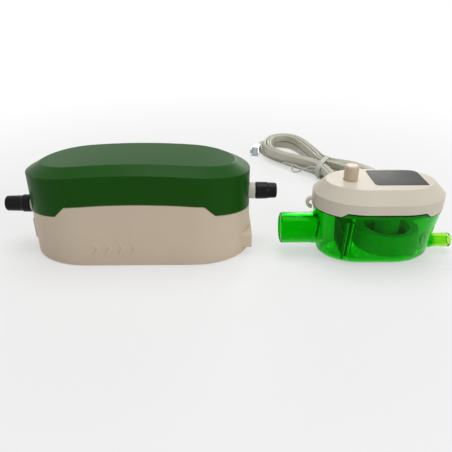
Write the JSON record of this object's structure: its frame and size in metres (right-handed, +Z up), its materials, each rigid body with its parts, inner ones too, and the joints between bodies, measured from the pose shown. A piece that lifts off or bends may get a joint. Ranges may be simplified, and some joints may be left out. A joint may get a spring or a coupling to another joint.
{
  "type": "condensate pump",
  "caption": "Mini condensate pump kit: an oval two-shell pump unit and a clear float reservoir with lid, capped ports and a flat sensor lead in a tied hank.",
  "frame": {"origin": "centre of the pump unit's base face", "axes": "+X towards the pump's outlet and the reservoir, +Z up, front towards -Y"},
  "size_m": [0.2431, 0.2037, 0.054],
  "materials": {
    "casing_white": "satin moulded",
    "cover_green": "satin moulded",
    "port_white": "smooth",
    "cap_black": "semi-gloss",
    "grommet_black": "matt",
    "steel": "turned",
    "spring_steel": "drawn wire",
    "yoke_steel": "zinc plated",
    "copper": "enamelled winding",
    "bobbin_black": "moulded",
    "seal_black": "matt",
    "board": "solder mask",
    "component": "moulded",
    "socket_black": "moulded",
    "socket_white": "moulded",
    "contact": "plated",
    "screw_steel": "zinc plated",
    "tank_green": "clear tinted",
    "strainer": "moulded",
    "float": "closed-cell",
    "magnet": "ferrite",
    "lid_white": "satin moulded",
    "sensor_white": "moulded",
    "vent_cream": "smooth",
    "lead_cream": "flat cable sheath",
    "plug_clear": "clear moulded",
    "tie_white": "paper-covered wire"
  },
  "bodies": {
    "pump_unit": {"pump_base_casing": "casing_white", "pump_top_cover": "cover_green", "cover_screws": "screw_steel", "outlet_chamber": "port_white", "inlet_fitting": "port_white", "inlet_grommet": "grommet_black", "outlet_grommet": "grommet_black", "piston_tube": "steel", "solenoid_bobbin": "bobbin_black", "solenoid_coil": "copper", "solenoid_yoke": "yoke_steel", "valve_head": "bobbin_black", "head_seal": "seal_black", "piston_spring": "spring_steel", "poppet_spring": "spring_steel", "damper_pads": "grommet_black", "control_board": "board", "board_components": "component", "power_socket": "socket_white", "socket_pins": "contact", "sensor_jack": "socket_black"},
    "piston": {"piston": "steel", "suction_valve": "seal_black"},
    "discharge_poppet": {"discharge_poppet": "seal_black"},
    "outlet_cap": {"outlet_cap": "cap_black"},
    "inlet_cap": {"inlet_cap": "cap_black"},
    "reservoir": {"reservoir_cup": "tank_green", "inlet_strainer": "strainer"},
    "float": {"float_ring": "float", "float_rim": "float", "float_magnet": "magnet"},
    "lid": {"reservoir_lid": "lid_white", "lid_seal": "seal_black", "sensor_housing": "sensor_white", "sensor_board": "board", "lead_gland": "lid_white", "sensor_lead": "lead_cream", "lead_hank": "lead_cream", "twist_tie": "tie_white", "sensor_plug": "plug_clear"},
    "vent_cap": {"vent_cap": "vent_cream"}
  },
  "joints": [
    {"name": "piston_stroke", "type": "slide", "parent": "pump_unit", "child": "piston", "axis": [-1, 0, 0], "range_m": [0, 0.003], "stiffness_N_per_m": 300, "springref_m": -0.002, "deforming": ["piston_spring"]},
    {"name": "poppet_lift", "type": "slide", "parent": "pump_unit", "child": "discharge_poppet", "axis": [1, 0, 0], "range_m": [0, 0.0011], "stiffness_N_per_m": 60, "springref_m": -0.001, "deforming": ["poppet_spring"]},
    {"name": "outlet_cap_pull", "type": "slide", "parent": "pump_unit", "child": "outlet_cap", "axis": [1, 0, 0], "range_m": [0, 0.012]},
    {"name": "inlet_cap_pull", "type": "slide", "parent": "pump_unit", "child": "inlet_cap", "axis": [-1, 0, 0], "range_m": [0, 0.014]},
    {"name": "reservoir_lift", "type": "slide", "parent": "pump_unit", "child": "reservoir", "axis": [0, 0, 1], "range_m": [0, 0.06]},
    {"name": "float_rise", "type": "slide", "parent": "reservoir", "child": "float", "axis": [0, 0, 1], "range_m": [0, 0.01]},
    {"name": "lid_lift", "type": "slide", "parent": "reservoir", "child": "lid", "axis": [0, 0, 1], "range_m": [0, 0.04]},
    {"name": "vent_cap_pull", "type": "slide", "parent": "lid", "child": "vent_cap", "axis": [0, 0, 1], "range_m": [0, 0.008]}
  ]
}
